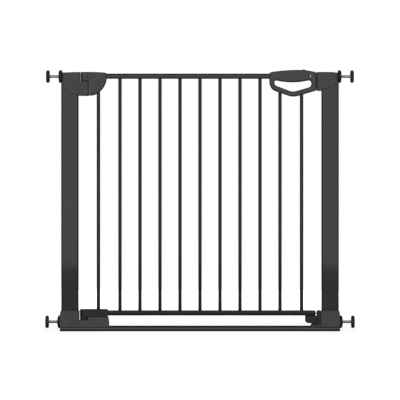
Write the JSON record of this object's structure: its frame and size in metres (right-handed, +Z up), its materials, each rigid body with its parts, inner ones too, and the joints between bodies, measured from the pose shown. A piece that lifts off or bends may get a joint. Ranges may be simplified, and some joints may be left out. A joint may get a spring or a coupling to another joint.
{
  "type": "safety baby gate",
  "caption": "Pressure-fit safety gate: barred door hinged in a steel frame with flat posts, D-shaped latch handle and screw-out wall pads.",
  "frame": {"origin": "bottom centre of the gate, on the floor, midway between the wall pads", "axes": "+X along the gate from the hinge side to the latch side, +Y from front to rear, +Z up"},
  "size_m": [0.8956, 0.038, 0.7586],
  "materials": {
    "powder_coat": "satin",
    "moulded_grey": "matte",
    "moulded_black": "matte",
    "rubber": "matte",
    "zinc": "satin",
    "indicator_green": "gloss"
  },
  "bodies": {
    "frame": {"left_post": "powder_coat", "right_post": "powder_coat", "threshold_tube": "powder_coat", "threshold_end_cap_left": "moulded_black", "threshold_end_cap_right": "moulded_black", "left_foot_bracket": "moulded_grey", "right_foot_bracket": "moulded_grey", "bottom_strike": "moulded_black", "upper_hinge_bracket": "moulded_grey", "keeper_bracket": "moulded_grey", "bracket_screw_1": "zinc", "bracket_screw_2": "zinc", "bracket_screw_3": "zinc", "bracket_screw_4": "zinc", "upper_hinge_bush": "moulded_black", "lower_hinge_bush": "moulded_black"},
    "hinge_pins": {"upper_hinge_pin": "zinc", "lower_hinge_pin": "zinc"},
    "panel": {"top_rail": "powder_coat", "bottom_rail": "powder_coat", "bar_01": "powder_coat", "bar_02": "powder_coat", "bar_03": "powder_coat", "bar_04": "powder_coat", "bar_05": "powder_coat", "bar_06": "powder_coat", "bar_07": "powder_coat", "bar_08": "powder_coat", "bar_09": "powder_coat", "bar_10": "powder_coat", "bar_11": "powder_coat", "gate_hinge_bracket": "moulded_grey", "gate_hinge_shoe": "moulded_black", "bottom_catch_shoe": "moulded_black", "handle_front_shell": "moulded_grey", "handle_rear_shell": "moulded_grey", "handle_screw_1": "zinc", "handle_screw_2": "zinc", "indicator_window": "indicator_green", "closer_spring": "zinc"},
    "latch": {"thumb_slide": "moulded_grey", "latch_bolt": "moulded_black", "indicator_flag": "indicator_green"},
    "wheel_upper_left": {"nut_wheel_upper_left": "moulded_black"},
    "adjuster_upper_left": {"spindle_upper_left": "zinc", "wall_cup_upper_left": "moulded_black", "wall_pad_upper_left": "rubber"},
    "wheel_lower_left": {"nut_wheel_lower_left": "moulded_black"},
    "adjuster_lower_left": {"spindle_lower_left": "zinc", "wall_cup_lower_left": "moulded_black", "wall_pad_lower_left": "rubber"},
    "wheel_upper_right": {"nut_wheel_upper_right": "moulded_black"},
    "adjuster_upper_right": {"spindle_upper_right": "zinc", "wall_cup_upper_right": "moulded_black", "wall_pad_upper_right": "rubber"},
    "wheel_lower_right": {"nut_wheel_lower_right": "moulded_black"},
    "adjuster_lower_right": {"spindle_lower_right": "zinc", "wall_cup_lower_right": "moulded_black", "wall_pad_lower_right": "rubber"}
  },
  "joints": [
    {"name": "panel_lift", "type": "slide", "parent": "frame", "child": "hinge_pins", "axis": [0, 0, 1], "range_m": [0, 0.008]},
    {"name": "panel_swing", "type": "hinge", "parent": "hinge_pins", "child": "panel", "pos_m": [-0.3365, 0, 0], "axis": [0, 0, 1], "range_deg": [-90, 90], "stiffness_Nm_per_rad": 1.5},
    {"name": "bolt_slide", "type": "slide", "parent": "panel", "child": "latch", "axis": [1, 0, 0], "range_m": [0, 0.009]},
    {"name": "upper_left_wheel", "type": "hinge", "parent": "frame", "child": "wheel_upper_left", "pos_m": [0, 0, 0.738], "axis": [1, 0, 0], "range_deg": [-5761, 3457]},
    {"name": "upper_left_spindle", "type": "slide", "parent": "frame", "child": "adjuster_upper_left", "axis": [-1, 0, 0], "range_m": [-0.02, 0.012]},
    {"name": "lower_left_wheel", "type": "hinge", "parent": "frame", "child": "wheel_lower_left", "pos_m": [0, 0, 0.027], "axis": [1, 0, 0], "range_deg": [-5761, 3457]},
    {"name": "lower_left_spindle", "type": "slide", "parent": "frame", "child": "adjuster_lower_left", "axis": [-1, 0, 0], "range_m": [-0.02, 0.012]},
    {"name": "upper_right_wheel", "type": "hinge", "parent": "frame", "child": "wheel_upper_right", "pos_m": [0, 0, 0.738], "axis": [-1, 0, 0], "range_deg": [-5761, 3457]},
    {"name": "upper_right_spindle", "type": "slide", "parent": "frame", "child": "adjuster_upper_right", "axis": [1, 0, 0], "range_m": [-0.02, 0.012]},
    {"name": "lower_right_wheel", "type": "hinge", "parent": "frame", "child": "wheel_lower_right", "pos_m": [0, 0, 0.027], "axis": [-1, 0, 0], "range_deg": [-5761, 3457]},
    {"name": "lower_right_spindle", "type": "slide", "parent": "frame", "child": "adjuster_lower_right", "axis": [1, 0, 0], "range_m": [-0.02, 0.012]}
  ],
  "couplings": [
    {"joint": "upper_left_wheel", "follows": "upper_left_spindle", "rad_per_m": 5026.5},
    {"joint": "lower_left_wheel", "follows": "lower_left_spindle", "rad_per_m": 5026.5},
    {"joint": "upper_right_wheel", "follows": "upper_right_spindle", "rad_per_m": 5026.5},
    {"joint": "lower_right_wheel", "follows": "lower_right_spindle", "rad_per_m": 5026.5}
  ]
}
